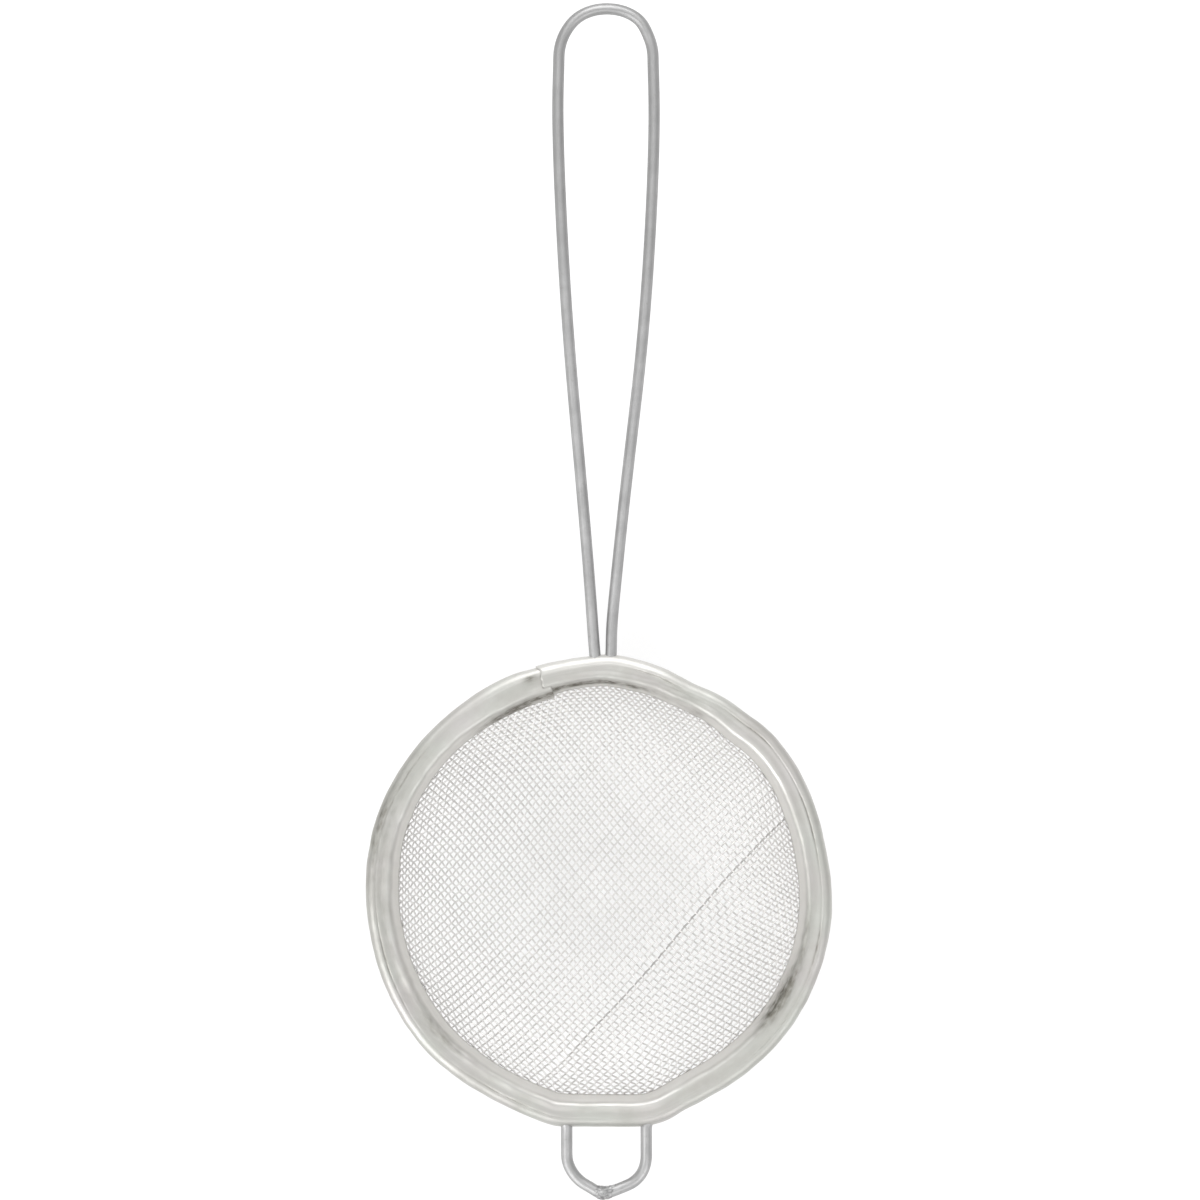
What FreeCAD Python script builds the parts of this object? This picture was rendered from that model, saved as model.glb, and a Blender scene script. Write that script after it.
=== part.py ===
"""Tea strainer: a wire frame, a folded sheet rim, a woven mesh bowl and the weld that closes the wire.

Millimetres. The origin is the centre of the mouth in the plane of the frame wire, +Z comes up out of the
mouth, +Y runs along the handle and -Y to the rest ear.
"""

import FreeCAD, Part
import Sketcher
import math
import os
import re

from FreeCAD import Vector

# Driving dimensions: alias, value, what it measures.
SIZES = [
    ("rim_diameter", 70.0, "outside diameter of the rim"),
    ("wire_diameter", 1.7, "frame wire"),
    ("wire_play", 0.05, "radial play of the wire inside the rolled strip"),
    ("slot_play", 0.03, "radial play where the wire leaves the strip"),
    ("strip_thickness", 0.35, "sheet of the rim strip"),
    ("peak_slope", 11.0, "slope of the wire beside the handle, degrees"),
    ("peak_radius", 8.0, "rounding of the rim between the handle legs"),
    ("chord_distance", 34.35, "mouth centre to the roll's centre line between the ear legs"),
    ("chord_corner_radius", 4.0, "rounding at the ends of that straight stretch"),
    ("ear_slope", 30.0, "slope of the wire beside the ear, degrees"),
    ("root_radius", 2.0, "bend of an ear leg out of the rim"),
    ("handle_root_radius", 1.6, "bend of a handle leg out of the rim"),
    ("ear_half_width", 5.97, "axis to the centre of an ear leg"),
    ("ear_reach", 45.5, "mouth centre to the wire's centre at the ear's tip"),
    ("ear_bend_radius", 5.0, "bend at the end of an ear leg"),
    ("ear_tip_radius", 3.0, "bend at the ear's tip"),
    ("ear_tip_slope", 26.0, "slope of the ear's end beside the tip, degrees"),
    ("weld_gap", 0.3, "distance between the wire's two ends at the ear's tip"),
    ("leg_half_gap", 1.25, "axis to the centre of a handle leg at the rim"),
    ("leg_slope", 5.4, "lean of a handle leg away from the axis, degrees"),
    ("handle_half_width", 7.28, "axis to the wire's centre at the widest place"),
    ("handle_top", 125.07, "mouth centre to the centre of the handle's end bend"),
    ("wall_lean", 28.0, "lean of the mesh and the strip's walls from vertical at the rim, degrees"),
    ("face_radius", 32.0, "inner radius of the rim's flat face, just outside its fold"),
    ("lip_radius", 30.13, "radius of the strip's lower edge inside the bowl"),
    ("lip_depth", 1.1, "depth of that edge under the wire's plane"),
    ("clamp_depth", 2.9, "depth of the strip's edge outside the bowl"),
    ("fold_radius", 0.75, "outer bend radius of the strip's folds"),
    ("cloth_thickness", 0.5, "woven mesh at a crossing of two of its wires"),
    ("cloth_play", 0.05, "play between the mesh and each wall of the strip"),
    ("cloth_tuck", 1.5, "length of mesh held between the walls"),
    ("cloth_lead", 0.3, "straight mesh below the strip before the dome begins"),
    ("seam_angle", 105.5, "where the strip's two ends meet, degrees from +X"),
    ("seam_gap", 0.2, "gap between those ends"),
    ("bead_half_length", 2.2, "weld bead along the wire"),
    ("bead_radius", 1.12, "weld bead across the wire"),
    ("bead_play", 0.025, "play between the bead and the wire"),
]

WEB_OVERLAP = 0.5      # how far the folded webs reach into the swept roll
WEB_LENGTH = 1.0       # straight part of the swept roll's section
SLOT_REACH = 3.0       # how far a leg slot's cutter runs out past the rim
SLOT_LEAD = 0.5        # how far it runs back inside the roll
CUT_MARGIN = 2.0       # how far a cutter stands clear of what it cuts

doc = FreeCAD.newDocument("tea_strainer")


# --- Spreadsheet -----------------------------------------------------------------------------------

sheet = doc.addObject("Spreadsheet::Sheet", "sizes")
for row, (alias, number, meaning) in enumerate(SIZES, start=1):
    sheet.set(f"A{row}", alias)
    sheet.set(f"B{row}", str(number))
    sheet.set(f"C{row}", meaning)
    sheet.setAlias(f"B{row}", alias)
doc.recompute()


def size(alias):
    """The value of a cell."""
    return float(getattr(sheet, alias))


def cell(expression):
    """An expression in which every cell alias stands for its spreadsheet cell."""
    aliases = {alias for alias, _, _ in SIZES}
    return re.sub(r"[a-z_]+", lambda word: ("sizes." if word[0] in aliases else "") + word[0], expression)


# Sizes that follow from the driving ones, as expressions for constraints and as numbers for first guesses.
ROLL_INNER = "wire_diameter / 2 + wire_play"
ROLL_OUTER = "wire_diameter / 2 + wire_play + strip_thickness"
RING_RADIUS = f"rim_diameter / 2 - ({ROLL_OUTER})"

wire_radius = size("wire_diameter") / 2
roll_inner = wire_radius + size("wire_play")
roll_outer = roll_inner + size("strip_thickness")
ring_radius = size("rim_diameter") / 2 - roll_outer


# --- Sketch helpers --------------------------------------------------------------------------------

def polar(radius, degrees, centre=(0.0, 0.0)):
    """A point at a polar angle about a centre."""
    angle = math.radians(degrees)
    return (centre[0] + radius * math.cos(angle), centre[1] + radius * math.sin(angle))


def new_sketch(body, name, plane):
    """A sketch on one of the body's origin planes."""
    sketch = body.newObject("Sketcher::SketchObject", name)
    support = next(f for f in body.Origin.OriginFeatures if f.Role == plane)
    sketch.AttachmentSupport = [(support, "")]
    sketch.MapMode = "FlatFace"
    return sketch


def line(start, end):
    """A straight piece of a chain, with its entry and exit point numbers."""
    return (Part.LineSegment(Vector(*start, 0), Vector(*end, 0)), 1, 2)


def arc(centre, radius, start, end):
    """A round piece of a chain from one angle to the other, in degrees; it may run either way."""
    low, high = min(start, end), max(start, end)
    circle = Part.Circle(Vector(*centre, 0), Vector(0, 0, 1), radius)
    curve = Part.ArcOfCircle(circle, math.radians(low), math.radians(high))
    return (curve, 1, 2) if start < end else (curve, 2, 1)


def add_chain(sketch, pieces, joints="Tangent"):
    """Add pieces end to end; joints is one kind for all, or a list of one kind per joint."""
    numbers = [sketch.addGeometry(piece[0], False) for piece in pieces]
    kinds = [joints] * (len(pieces) - 1) if isinstance(joints, str) else joints
    for index, kind in enumerate(kinds):
        following = (index + 1) % len(pieces)
        sketch.addConstraint(Sketcher.Constraint(
            kind, numbers[index], pieces[index][2], numbers[following], pieces[following][1]))
    return numbers


def drive(sketch, name, expression, kind, *where):
    """Add a dimension whose value follows an expression of cells."""
    guess = float(sheet.evalExpression(cell(expression)))
    if kind == "Angle":
        guess = math.radians(guess)
    index = sketch.addConstraint(Sketcher.Constraint(kind, *where, guess))
    sketch.renameConstraint(index, name)
    sketch.setExpression(f"Constraints.{name}", cell(expression))


def on_axis(sketch, geometry, point):
    """Hold a point on the sketch's vertical axis."""
    sketch.addConstraint(Sketcher.Constraint("PointOnObject", geometry, point, -2))


def dimension_radius(sketch, name, expression, geometry):
    """Drive an arc's or a circle's radius."""
    drive(sketch, name, expression, "Radius", geometry)


def centre_at_origin(sketch, geometry):
    """Put an arc's centre on the sketch's origin."""
    sketch.addConstraint(Sketcher.Constraint("Coincident", geometry, 3, -1, 1))


def whole_turn(body, name, profile):
    """Revolve a profile sketch once around the mouth's axis."""
    feature = body.newObject("PartDesign::Revolution", name)
    feature.Profile = profile
    feature.ReferenceAxis = (profile, ["V_Axis"])
    feature.Angle = 360
    return feature


def mirror_across_axis(body, name, originals):
    """Repeat features on the other side of the handle's plane."""
    feature = body.newObject("PartDesign::Mirrored", name)
    feature.Originals = originals
    plane = next(f for f in body.Origin.OriginFeatures if f.Role == "YZ_Plane")
    feature.MirrorPlane = (plane, [""])
    body.Tip = feature
    return feature


def pipe(body, kind, name, profile, path):
    """Sweep a profile sketch along a path sketch, adding or cutting."""
    feature = body.newObject(kind, name)
    feature.Profile = profile
    feature.Spine = (path, [])
    return feature


# --- First guesses for the wire's route ------------------------------------------------------------

peak_angle = 90 - size("peak_slope")
ear_angle = 90 - size("ear_slope")


def root_bend_centre(bend_radius, leg_side, flank_angle):
    """Centre of the bend that takes the wire out of the rim, on the upper side of the x axis."""
    flank = math.radians(flank_angle)
    return (leg_side, (ring_radius + bend_radius - leg_side * math.cos(flank)) / math.sin(flank))


def handle_root():
    """The bend into a handle leg: its centre, and the angles where it starts and ends."""
    bend = size("handle_root_radius")
    lean = size("leg_slope")
    side = size("leg_half_gap") + bend * math.cos(math.radians(lean))
    centre = root_bend_centre(bend, side, peak_angle)
    return centre, peak_angle + 180, 180 - lean


def ear_root():
    """The bend into an ear leg: its centre, and the angles where it starts and ends."""
    bend = size("root_radius")
    x, y = root_bend_centre(bend, size("ear_half_width") + bend, ear_angle)
    return (x, -y), 180, 180 - ear_angle


def wire_pieces():
    """The right half of the wire, from the ear's tip to the top of the handle."""
    tip_radius = size("ear_tip_radius")
    tip_centre = (0.0, -size("ear_reach") + tip_radius)
    tip_end = -90 + size("ear_tip_slope")
    bend = size("ear_bend_radius")
    run = size("ear_half_width") - bend + (bend - tip_radius) * math.cos(math.radians(tip_end))
    rise = run * math.tan(math.radians(size("ear_tip_slope")))
    drop = (bend - tip_radius) * math.sin(math.radians(tip_end))
    bend_centre = (size("ear_half_width") - bend, tip_centre[1] + rise - drop)

    low_centre, low_start, low_end = ear_root()
    low_bend = size("root_radius")
    high_centre, high_start, high_end = handle_root()
    high_bend = size("handle_root_radius")

    lean = math.radians(size("leg_slope"))
    leg_foot = polar(high_bend, high_end, high_centre)
    climb = size("handle_top") - leg_foot[1]
    spread = size("handle_half_width") - size("leg_half_gap")
    swell = (math.sin(lean) * climb - math.cos(lean) * spread) / (1 - math.cos(lean))
    swell_centre = (size("handle_half_width") - swell, size("handle_top"))
    swell_start = -size("leg_slope")

    return [
        arc(tip_centre, tip_radius, -90, tip_end),
        line(polar(tip_radius, tip_end, tip_centre), polar(bend, tip_end, bend_centre)),
        arc(bend_centre, bend, tip_end, 0),
        line(polar(bend, 0, bend_centre), polar(low_bend, low_start, low_centre)),
        arc(low_centre, low_bend, low_start, low_end),
        line(polar(low_bend, low_end, low_centre), polar(ring_radius, -ear_angle)),
        arc((0, 0), ring_radius, -ear_angle, peak_angle),
        line(polar(ring_radius, peak_angle), polar(high_bend, high_start, high_centre)),
        arc(high_centre, high_bend, high_start, high_end),
        line(leg_foot, polar(swell, swell_start, swell_centre)),
        arc(swell_centre, swell, swell_start, 0),
        arc((0, size("handle_top")), size("handle_half_width"), 0, 90),
    ]


# --- Frame wire ------------------------------------------------------------------------------------

def build_frame_wire():
    """One round wire: handle loop, both halves of the ring, ear; its ends meet at the ear's tip."""
    body = doc.addObject("PartDesign::Body", "frame_wire")
    path = new_sketch(body, "wire_path", "XY_Plane")
    (tip, slant, ear_bend, ear_leg, low_root, low_flank,
     ring, high_flank, high_root, leg, swell, top) = add_chain(path, wire_pieces())
    centre_at_origin(path, ring)
    dimension_radius(path, "ring", RING_RADIUS, ring)
    on_axis(path, tip, 1)
    on_axis(path, tip, 3)
    dimension_radius(path, "ear_tip", "ear_tip_radius", tip)
    drive(path, "ear_reach", "0 - ear_reach", "DistanceY", -1, 1, tip, 1)
    drive(path, "ear_slant", "ear_tip_slope", "Angle", slant)
    dimension_radius(path, "ear_bend", "ear_bend_radius", ear_bend)
    path.addConstraint(Sketcher.Constraint("Vertical", ear_leg))
    drive(path, "ear_side", "ear_half_width", "DistanceX", -1, 1, ear_leg, 1)
    dimension_radius(path, "low_root", "root_radius", low_root)
    drive(path, "low_flank", "ear_slope", "Angle", low_flank)
    drive(path, "high_flank", "180 - peak_slope", "Angle", high_flank)
    dimension_radius(path, "high_root", "handle_root_radius", high_root)
    drive(path, "leg_lean", "90 - leg_slope", "Angle", leg)
    drive(path, "leg_side", "leg_half_gap", "DistanceX", -1, 1, leg, 1)
    on_axis(path, top, 3)
    on_axis(path, top, 2)
    dimension_radius(path, "top_bend", "handle_half_width", top)
    drive(path, "top_centre", "handle_top", "DistanceY", -1, 1, top, 3)
    path.addConstraint(Sketcher.Constraint("Horizontal", top, 3, top, 1))

    section = new_sketch(body, "wire_section", "YZ_Plane")
    centre = Vector(-size("ear_reach"), 0, 0)
    circle = section.addGeometry(Part.Circle(centre, Vector(0, 0, 1), wire_radius), False)
    dimension_radius(section, "wire", "wire_diameter / 2", circle)
    section.addConstraint(Sketcher.Constraint("PointOnObject", circle, 3, -1))
    drive(section, "start", "0 - ear_reach", "DistanceX", -1, 1, circle, 3)

    half = pipe(body, "PartDesign::AdditivePipe", "right_half", section, path)
    doc.recompute()
    mirror_across_axis(body, "left_half", [half])

    parting = new_sketch(body, "parting", "XY_Plane")
    depth = wire_radius + CUT_MARGIN
    add_slit(parting, "weld_gap", size("weld_gap"), -size("ear_reach") - depth,
             -size("ear_reach") + depth)
    cut_through(body, "ends_apart", parting)
    return body


def add_slit(sketch, gap_alias, width, near, far):
    """A narrow upright rectangle across the sketch's vertical axis."""
    corners = [(-width / 2, near), (width / 2, near), (width / 2, far), (-width / 2, far)]
    sides = [line(corners[i], corners[(i + 1) % 4]) for i in range(4)]
    bottom, right, top, left = add_chain(sketch, sides, ["Coincident"] * 4)
    sketch.addConstraint(Sketcher.Constraint("Horizontal", top))
    for side in (left, right):
        sketch.addConstraint(Sketcher.Constraint("Vertical", side))
    sketch.addConstraint(Sketcher.Constraint("Symmetric", bottom, 1, bottom, 2, -2))
    drive(sketch, "width", gap_alias, "DistanceX", bottom, 1, bottom, 2)
    sketch.addConstraint(Sketcher.Constraint("DistanceY", -1, 1, bottom, 1, near))
    sketch.addConstraint(Sketcher.Constraint("DistanceY", -1, 1, top, 1, far))


def cut_through(body, name, sketch):
    """Pocket a sketch all the way, to both sides of its plane."""
    feature = body.newObject("PartDesign::Pocket", name)
    feature.Profile = sketch
    feature.Type = 1
    feature.Midplane = True
    body.Tip = feature
    return feature


# --- Rim band --------------------------------------------------------------------------------------

def rim_pieces(inset):
    """The right half of the rim's outline, from the ear side to the handle side, moved inward."""
    radius = ring_radius - inset
    chord = size("chord_distance") - inset
    corner = size("chord_corner_radius") - inset
    corner_centre_y = -chord + corner
    slope = math.radians(ear_angle)
    corner_x = (radius - corner + corner_centre_y * math.sin(slope)) / math.cos(slope)
    corner_centre = (corner_x, corner_centre_y)
    peak = size("peak_radius") - inset
    peak_centre = (0.0, (radius - peak) / math.sin(math.radians(peak_angle)))
    return [
        line((0.0, -chord), (corner_x, -chord)),
        arc(corner_centre, corner, -90, -ear_angle),
        line(polar(corner, -ear_angle, corner_centre), polar(radius, -ear_angle)),
        arc((0, 0), radius, -ear_angle, peak_angle),
        line(polar(radius, peak_angle), polar(peak, peak_angle, peak_centre)),
        arc(peak_centre, peak, peak_angle, 90),
    ]


def constrain_rim(sketch, numbers, inset):
    """Dimension a rim outline made by rim_pieces."""
    chord, corner, low_flank, ring, high_flank, peak = numbers
    on_axis(sketch, chord, 1)
    sketch.addConstraint(Sketcher.Constraint("Horizontal", chord))
    drive(sketch, "chord", f"{inset} - chord_distance", "DistanceY", -1, 1, chord, 1)
    dimension_radius(sketch, "corner", f"chord_corner_radius - {inset}", corner)
    drive(sketch, "low_flank", "ear_slope", "Angle", low_flank)
    centre_at_origin(sketch, ring)
    dimension_radius(sketch, "ring", f"{RING_RADIUS} - {inset}", ring)
    drive(sketch, "high_flank", "180 - peak_slope", "Angle", high_flank)
    on_axis(sketch, peak, 3)
    on_axis(sketch, peak, 2)
    dimension_radius(sketch, "peak", f"peak_radius - {inset}", peak)


def build_roll(body):
    """The strip's outer part, rolled around the wire, with a short straight web above and below."""
    path = new_sketch(body, "roll_path", "XY_Plane")
    constrain_rim(path, add_chain(path, rim_pieces(0)), 0)

    section = new_sketch(body, "roll_section", "YZ_Plane")
    y = -size("chord_distance")
    web = y + WEB_LENGTH
    pieces = [
        line((web, roll_outer), (y, roll_outer)),
        arc((y, 0), roll_outer, 90, 270),
        line((y, -roll_outer), (web, -roll_outer)),
        line((web, -roll_outer), (web, -roll_inner)),
        line((web, -roll_inner), (y, -roll_inner)),
        arc((y, 0), roll_inner, 270, 90),
        line((y, roll_inner), (web, roll_inner)),
        line((web, roll_inner), (web, roll_outer)),
    ]
    joints = ["Tangent", "Tangent", "Coincident", "Coincident", "Tangent", "Tangent",
              "Coincident", "Coincident"]
    (top, outer, bottom, low_end, low_web, inner, high_web, high_end) = add_chain(
        section, pieces, joints)
    for side in (top, bottom, low_web, high_web):
        section.addConstraint(Sketcher.Constraint("Horizontal", side))
    for side in (low_end, high_end):
        section.addConstraint(Sketcher.Constraint("Vertical", side))
    dimension_radius(section, "outer", ROLL_OUTER, outer)
    dimension_radius(section, "inner", ROLL_INNER, inner)
    section.addConstraint(Sketcher.Constraint("Coincident", outer, 3, inner, 3))
    section.addConstraint(Sketcher.Constraint("PointOnObject", outer, 3, -1))
    drive(section, "start", "0 - chord_distance", "DistanceX", -1, 1, outer, 3)
    section.addConstraint(Sketcher.Constraint("DistanceX", outer, 3, top, 1, WEB_LENGTH))
    section.addConstraint(Sketcher.Constraint("DistanceX", outer, 3, bottom, 2, WEB_LENGTH))
    return pipe(body, "PartDesign::AdditivePipe", "roll", section, path)


def build_web(body, name, level):
    """Half of a flat web between the roll and its round fold, one sheet thick.

    level is an expression for the height of its underside.
    """
    inner_radius = size("face_radius")
    sketch = new_sketch(body, f"{name}_outline", "XY_Plane")
    outline = rim_pieces(WEB_OVERLAP)
    start = (0.0, -size("chord_distance") + WEB_OVERLAP)
    peak_radius = size("peak_radius") - WEB_OVERLAP
    end = (0.0, (ring_radius - WEB_OVERLAP - peak_radius) / math.sin(math.radians(peak_angle))
           + peak_radius)
    closing = [
        line(end, (0.0, inner_radius)),
        arc((0, 0), inner_radius, 90, -90),
        line((0.0, -inner_radius), start),
    ]
    joints = ["Tangent"] * (len(outline) - 1) + ["Coincident"] * 4
    numbers = add_chain(sketch, outline + closing, joints)
    constrain_rim(sketch, numbers[:len(outline)], WEB_OVERLAP)
    upper_side, inner, lower_side = numbers[len(outline):]
    centre_at_origin(sketch, inner)
    dimension_radius(sketch, "fold", "face_radius", inner)
    for side in (upper_side, lower_side):
        sketch.addConstraint(Sketcher.Constraint("Vertical", side))
    sketch.setExpression(".AttachmentOffset.Base.z", cell(level))
    pad = body.newObject("PartDesign::Pad", name)
    pad.Profile = sketch
    pad.setExpression("Length", cell("strip_thickness"))
    return pad


LEAN = "(wall_lean * 1 deg)"
wall_lean = math.radians(size("wall_lean"))


def wall_radius(offset, height):
    """Radius, at a height, of the line parallel to the strip's inner skin at an outward offset."""
    return (size("lip_radius") + offset / math.cos(wall_lean)
            + (height + size("lip_depth")) * math.tan(wall_lean))


def build_wall(body, name, offset, level, edge_depth):
    """A folded wall turned around the axis: a web at a level, a fold and a leaning skirt.

    offset, level and edge_depth are expressions: the near skin's distance from the strip's inner
    skin, its height at the web and the depth of its raw edge.
    """
    near_offset = float(sheet.evalExpression(cell(offset)))
    near_level = float(sheet.evalExpression(cell(level)))
    edge_level = -size(edge_depth)
    thickness = size("strip_thickness")
    fold = size("fold_radius")
    lean_angle = 180 - size("wall_lean")
    centre_level = near_level - fold
    centre = (wall_radius(near_offset + fold, centre_level), centre_level)
    web_end = size("face_radius") + WEB_OVERLAP
    near_edge = (wall_radius(near_offset, edge_level), edge_level)
    far_edge = (near_edge[0] + thickness * math.cos(wall_lean),
                near_edge[1] - thickness * math.sin(wall_lean))
    far_level = near_level - thickness
    pieces = [
        line((web_end, near_level), (centre[0], near_level)),
        arc(centre, fold, 90, lean_angle),
        line(polar(fold, lean_angle, centre), near_edge),
        line(near_edge, far_edge),
        line(far_edge, polar(fold - thickness, lean_angle, centre)),
        arc(centre, fold - thickness, lean_angle, 90),
        line((centre[0], far_level), (web_end, far_level)),
        line((web_end, far_level), (web_end, near_level)),
    ]
    joints = ["Tangent", "Tangent", "Coincident", "Coincident", "Tangent", "Tangent",
              "Coincident", "Coincident"]
    section = new_sketch(body, f"{name}_section", "XZ_Plane")
    (near_web, near_fold, near_skin, edge, far_skin, far_fold, far_web, end) = add_chain(
        section, pieces, joints)
    section.addConstraint(Sketcher.Constraint("Horizontal", near_web))
    section.addConstraint(Sketcher.Constraint("Horizontal", far_web))
    section.addConstraint(Sketcher.Constraint("Vertical", end))
    section.addConstraint(Sketcher.Constraint("Coincident", near_fold, 3, far_fold, 3))
    section.addConstraint(Sketcher.Constraint("Perpendicular", near_skin, edge))
    section.addConstraint(Sketcher.Constraint("Parallel", near_skin, far_skin))
    dimension_radius(section, "near_fold", "fold_radius", near_fold)
    dimension_radius(section, "far_fold", "fold_radius - strip_thickness", far_fold)
    drive(section, "lean", "0 - 90 - wall_lean", "Angle", near_skin)
    drive(section, "edge_radius",
          f"lip_radius + ({offset}) / cos{LEAN} + (lip_depth - {edge_depth}) * tan{LEAN}",
          "DistanceX", -1, 1, near_skin, 2)
    drive(section, "edge_level", f"0 - {edge_depth}", "DistanceY", -1, 1, near_skin, 2)
    drive(section, "level", level, "DistanceY", -1, 1, near_web, 1)
    drive(section, "web_end", f"face_radius + {WEB_OVERLAP}", "DistanceX", -1, 1, near_web, 1)
    return whole_turn(body, name, section)


def moved(point, degrees, distance):
    """A point moved along a direction."""
    return polar(distance, degrees, point)


def cut_slot(body, name, bend, leg_heading, flank_heading, aliases):
    """Cut the way of one wire leg out through the roll; the leg's outer end carries the section.

    bend is the root bend's centre with its angles at the leg and at the flank, the headings lead away
    from it along both, in degrees, and aliases are the cells of the leg's distance from the axis and
    of the bend's radius, and the expressions for the slopes of the leg and the flank.
    """
    side, bend_radius, leg_slope, flank_slope = aliases
    centre, leg_angle, flank_angle = bend
    root = polar(size(bend_radius), leg_angle, centre)
    outer = moved(root, leg_heading, SLOT_REACH)
    flank = polar(size(bend_radius), flank_angle, centre)
    pieces = [line(outer, root), arc(centre, size(bend_radius), leg_angle, flank_angle),
              line(flank, moved(flank, flank_heading, SLOT_LEAD))]

    path = new_sketch(body, f"{name}_path", "XY_Plane")
    leg, root_bend, lead = add_chain(path, pieces)
    drive(path, "leg_slope", leg_slope, "Angle", leg)
    dimension_radius(path, "root_bend", bend_radius, root_bend)
    drive(path, "flank_slope", flank_slope, "Angle", lead)
    path.addConstraint(Sketcher.Constraint("Distance", lead, SLOT_LEAD))
    drive(path, "leg_side", side, "DistanceX", -1, 1, leg, 2)
    path.addConstraint(Sketcher.Constraint("DistanceY", -1, 1, leg, 2, root[1]))
    path.addConstraint(Sketcher.Constraint("DistanceY", -1, 1, leg, 1, outer[1]))

    section = new_sketch(body, f"{name}_section", "XZ_Plane")
    section.AttachmentOffset.Base.z = -outer[1]
    circle = section.addGeometry(
        Part.Circle(Vector(outer[0], 0, 0), Vector(0, 0, 1), wire_radius), False)
    dimension_radius(section, "slot", "wire_diameter / 2 + slot_play", circle)
    section.addConstraint(Sketcher.Constraint("PointOnObject", circle, 3, -1))
    section.addConstraint(Sketcher.Constraint("DistanceX", -1, 1, circle, 3, outer[0]))
    return pipe(body, "PartDesign::SubtractivePipe", name, section, path)


def build_rim_band():
    """The folded strip: roll around the wire, flat face, two walls that hold the mesh's edge."""
    body = doc.addObject("PartDesign::Body", "rim_band")
    roll = build_roll(body)
    doc.recompute()
    face = build_web(body, "face", ROLL_INNER)
    floor = build_web(body, "floor", f"0 - ({ROLL_OUTER})")
    doc.recompute()
    mirror_across_axis(body, "left_half", [roll, face, floor])
    doc.recompute()

    ear_slot = cut_slot(
        body, "ear_slot", ear_root(), -90, size("ear_slope"),
        ("ear_half_width", "root_radius", "90", "ear_slope"))
    handle_centre, handle_flank, handle_leg = handle_root()
    handle_slot = cut_slot(
        body, "handle_slot", (handle_centre, handle_leg, handle_flank),
        90 - size("leg_slope"), -size("peak_slope"),
        ("leg_half_gap", "handle_root_radius", "0 - 90 - leg_slope", "0 - peak_slope"))
    doc.recompute()
    mirror_across_axis(body, "left_slots", [ear_slot, handle_slot])

    build_wall(body, "lip", "0", ROLL_OUTER, "lip_depth")
    build_wall(body, "clamp", "strip_thickness + 2 * cloth_play + cloth_thickness",
               f"0 - ({ROLL_INNER})", "clamp_depth")
    doc.recompute()

    seam = new_sketch(body, "seam_outline", "XY_Plane")
    seam.AttachmentOffset = FreeCAD.Placement(
        Vector(0, 0, 0), FreeCAD.Rotation(Vector(0, 0, 1), size("seam_angle") - 90))
    seam.setExpression(".AttachmentOffset.Rotation.Angle", cell("(seam_angle - 90) * 1 deg"))
    add_slit(seam, "seam_gap", size("seam_gap"), size("lip_radius") - CUT_MARGIN,
             size("rim_diameter") / 2 + CUT_MARGIN)
    cut_through(body, "seam", seam)
    return body


# --- Mesh bowl -------------------------------------------------------------------------------------

def build_mesh_bowl():
    """The woven cloth as a closed shell: a dome, and the collar held between the strip's walls."""
    body = doc.addObject("PartDesign::Body", "mesh_bowl")
    thickness = size("cloth_thickness")
    inner_offset = size("strip_thickness") + size("cloth_play")
    lead_level = -size("lip_depth") - inner_offset * math.sin(wall_lean)
    start_level = lead_level - size("cloth_lead") * math.cos(wall_lean)
    start_radius = wall_radius(inner_offset, start_level)
    dome = start_radius / math.cos(wall_lean)
    centre = (0.0, start_level + dome * math.sin(wall_lean))
    collar = size("cloth_tuck") + size("cloth_lead")
    up = (collar * math.sin(wall_lean), collar * math.cos(wall_lean))
    start_angle = -size("wall_lean")
    inner_start = polar(dome, start_angle, centre)
    outer_start = polar(dome + thickness, start_angle, centre)
    inner_top = (inner_start[0] + up[0], inner_start[1] + up[1])
    outer_top = (outer_start[0] + up[0], outer_start[1] + up[1])
    pieces = [
        line(inner_top, inner_start),
        arc(centre, dome, start_angle, -90),
        line(polar(dome, -90, centre), polar(dome + thickness, -90, centre)),
        arc(centre, dome + thickness, -90, start_angle),
        line(outer_start, outer_top),
        line(outer_top, inner_top),
    ]
    section = new_sketch(body, "cloth_section", "XZ_Plane")
    joints = ["Tangent", "Coincident", "Coincident", "Tangent", "Coincident", "Coincident"]
    inner_line, inner_dome, pole, outer_dome, outer_line, edge = add_chain(section, pieces, joints)
    on_axis(section, inner_dome, 3)
    section.addConstraint(Sketcher.Constraint("Coincident", inner_dome, 3, outer_dome, 3))
    on_axis(section, pole, 1)
    on_axis(section, pole, 2)
    section.addConstraint(Sketcher.Constraint("Perpendicular", outer_line, edge))
    section.addConstraint(Sketcher.Constraint("Parallel", outer_line, inner_line))
    drive(section, "lean", "0 - 90 - wall_lean", "Angle", inner_line)
    drive(section, "thickness", "cloth_thickness", "Distance", edge)
    drive(section, "collar", "cloth_tuck + cloth_lead", "Distance", inner_line)
    offset = "(strip_thickness + cloth_play)"
    drive(section, "start_radius",
          f"lip_radius + {offset} * cos{LEAN} - cloth_lead * sin{LEAN}",
          "DistanceX", -1, 1, inner_line, 2)
    drive(section, "start_level",
          f"0 - lip_depth - {offset} * sin{LEAN} - cloth_lead * cos{LEAN}",
          "DistanceY", -1, 1, inner_line, 2)
    whole_turn(body, "cloth", section)
    return body


# --- Ear weld bead ---------------------------------------------------------------------------------

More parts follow.
